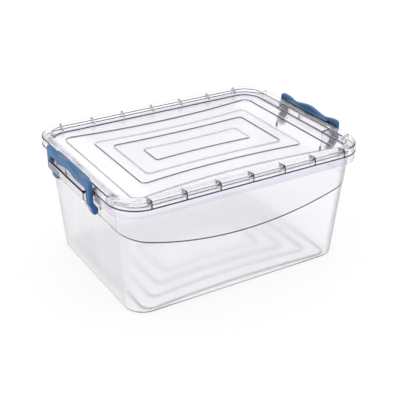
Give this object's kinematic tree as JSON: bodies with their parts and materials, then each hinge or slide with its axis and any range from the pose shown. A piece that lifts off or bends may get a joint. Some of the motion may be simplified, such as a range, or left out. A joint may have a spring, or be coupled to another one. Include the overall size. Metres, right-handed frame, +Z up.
{
  "type": "clip-lid storage box",
  "caption": "Clear moulded storage box with a lift-off lid, stepped floor and lid panels, and wavy blue clip handles that hinge on the ends and hook over the lid.",
  "frame": {"origin": "centre of the closed box's bounding box, on the surface it stands on", "axes": "+X along the length towards the right clip, +Y across the box towards its back long side, +Z up through the lid"},
  "size_m": [0.3856, 0.276, 0.1766],
  "materials": {
    "clear_plastic": "clear, glossy, moulded",
    "blue_plastic": "semi-gloss, moulded"
  },
  "bodies": {
    "tub": {"tub": "clear_plastic"},
    "lid": {"lid": "clear_plastic"},
    "left_clip": {"left_clip": "blue_plastic"},
    "right_clip": {"right_clip": "blue_plastic"}
  },
  "joints": [
    {"name": "lid_lift", "type": "slide", "parent": "tub", "child": "lid", "axis": [0, 0, 1], "range_m": [0, 0.1]},
    {"name": "left_clip_hinge", "type": "hinge", "parent": "tub", "child": "left_clip", "pos_m": [-0.1818, 0, 0.1319], "axis": [0, -1, 0], "range_deg": [0, 170]},
    {"name": "right_clip_hinge", "type": "hinge", "parent": "tub", "child": "right_clip", "pos_m": [0.1818, 0, 0.1319], "axis": [0, 1, 0], "range_deg": [0, 170]}
  ],
  "couplings": [
    {"joint": "left_clip_hinge", "follows": "lid_lift", "rad_per_m": 29.6},
    {"joint": "right_clip_hinge", "follows": "lid_lift", "rad_per_m": 29.6}
  ]
}
